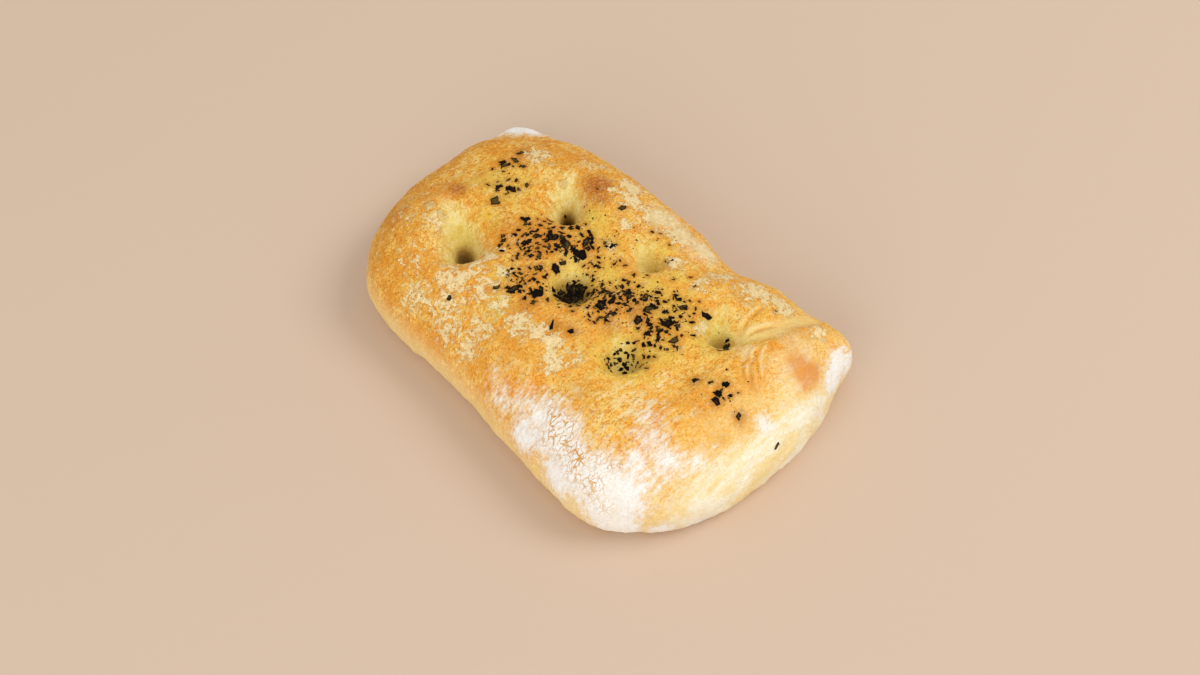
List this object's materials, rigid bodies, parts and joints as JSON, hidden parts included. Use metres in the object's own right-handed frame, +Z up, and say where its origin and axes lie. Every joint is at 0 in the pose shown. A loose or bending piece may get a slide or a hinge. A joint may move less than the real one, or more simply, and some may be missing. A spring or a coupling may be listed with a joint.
{
  "type": "turkish bread",
  "caption": "Flat hand-pulled loaf of turkish bread with finger dimples, a knob at one corner, a floured side, a pale end and dark herb flakes baked onto its golden crust.",
  "frame": {"origin": "on the surface that the loaf rests on, under the middle of its box", "axes": "+X along the loaf towards its pale end, +Y towards the long side with the waist, +Z up"},
  "size_m": [0.2165, 0.1411, 0.0436],
  "materials": {
    "crust": "baked bread crust, dry and matt, golden to brown, floured white in places and oily round the dimples",
    "herb": "dried herb leaf, baked dark brown to black green"
  },
  "bodies": {
    "root": {"loaf": "crust"}
  },
  "joints": []
}
